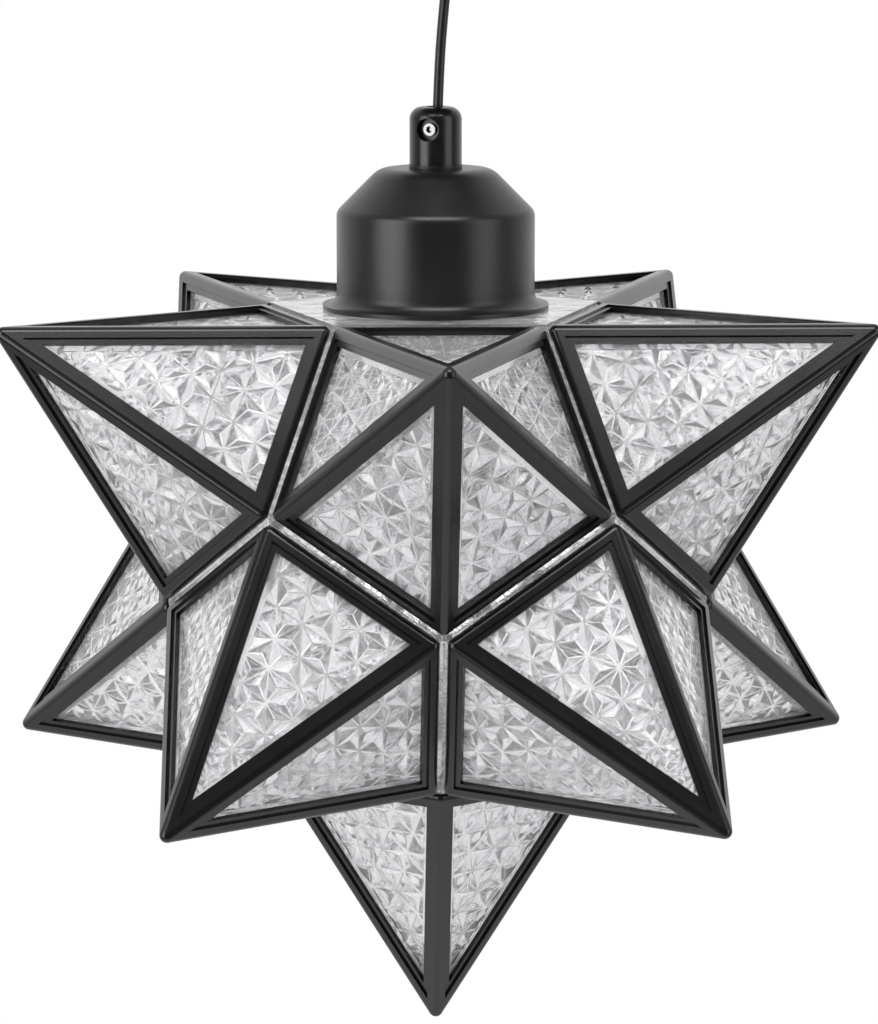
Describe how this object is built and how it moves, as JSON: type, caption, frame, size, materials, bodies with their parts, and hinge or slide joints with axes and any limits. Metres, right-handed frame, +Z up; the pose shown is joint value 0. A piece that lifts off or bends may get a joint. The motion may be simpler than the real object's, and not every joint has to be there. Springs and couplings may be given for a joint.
{
  "type": "moravian star pendant light",
  "caption": "Star-shaped pendant light: clear facetted glass points in black rounded frames, under a black metal cap, hung by a cord from a small ceiling canopy.",
  "frame": {"origin": "middle of the bracket's top face, where it meets the ceiling", "axes": "+Z up to the ceiling, -Y towards the viewer of the picture, +X to the right"},
  "size_m": [0.2962, 0.3112, 0.4055],
  "materials": {
    "frame_black": "satin",
    "clear_glass": "gloss",
    "cap_black": "satin",
    "grip_black": "gloss",
    "zinc_steel": "satin",
    "bright_steel": "polished",
    "contact_brass": "satin",
    "shell_metal": "satin",
    "holder_black": "satin",
    "insulator_white": "matte",
    "cord_black": "satin",
    "lead_black": "satin",
    "lead_white": "satin",
    "lead_green": "satin"
  },
  "bodies": {
    "ceiling_set": {"ceiling_bracket": "zinc_steel", "ground_screw": "contact_brass", "canopy": "cap_black", "canopy_screws": "zinc_steel", "ceiling_gland": "grip_black", "gland_nut": "zinc_steel", "gland_set_screw": "bright_steel", "cord_root": "cord_black", "supply_live": "lead_black", "supply_neutral": "lead_white", "supply_ground": "lead_green"},
    "cord": {"pendant_cord": "cord_black"},
    "grip": {"cord_grip": "grip_black", "grip_gasket": "cord_black", "grip_set_screw": "bright_steel", "cord_tail": "cord_black"},
    "lamp": {"nipple": "zinc_steel", "lock_washer": "zinc_steel", "nipple_lock_nut": "zinc_steel", "cap": "cap_black", "holder_cap": "holder_black", "holder_body": "holder_black", "holder_insulator": "insulator_white", "screw_shell": "shell_metal", "centre_contact": "contact_brass", "terminal_screws": "zinc_steel", "lead_live": "lead_black", "lead_neutral": "lead_white", "shade_ring": "holder_black", "top_plate": "clear_glass", "upper_frame_1": "frame_black", "upper_frame_2": "frame_black", "upper_frame_3": "frame_black", "upper_frame_4": "frame_black", "upper_frame_5": "frame_black", "lower_frame_1": "frame_black", "lower_frame_2": "frame_black", "lower_frame_3": "frame_black", "lower_frame_4": "frame_black", "lower_frame_5": "frame_black", "upper_lens_1": "clear_glass", "upper_lens_2": "clear_glass", "upper_lens_3": "clear_glass", "upper_lens_4": "clear_glass", "upper_lens_5": "clear_glass", "lower_lens_1": "clear_glass", "lower_lens_2": "clear_glass", "lower_lens_3": "clear_glass", "lower_lens_4": "clear_glass", "lower_lens_5": "clear_glass"},
    "bottom_point": {"bottom_frame": "frame_black", "bottom_lens": "clear_glass"}
  },
  "joints": [
    {"name": "cord_swing", "type": "hinge", "parent": "ceiling_set", "child": "cord", "pos_m": [0, 0, -0.039], "axis": [0, 1, 0], "range_deg": [-20, 20]},
    {"name": "lamp_tilt", "type": "hinge", "parent": "cord", "child": "grip", "pos_m": [-0.0033, 0, -0.083], "axis": [1, 0, 0], "range_deg": [-15, 15]},
    {"name": "lamp_turn", "type": "hinge", "parent": "grip", "child": "lamp", "pos_m": [-0.004, 0, -0.1], "axis": [0, 0, 1], "range_deg": [-180, 180]},
    {"name": "bottom_point_release", "type": "slide", "parent": "lamp", "child": "bottom_point", "axis": [0, 0, -1], "range_m": [0, 0.12]}
  ]
}
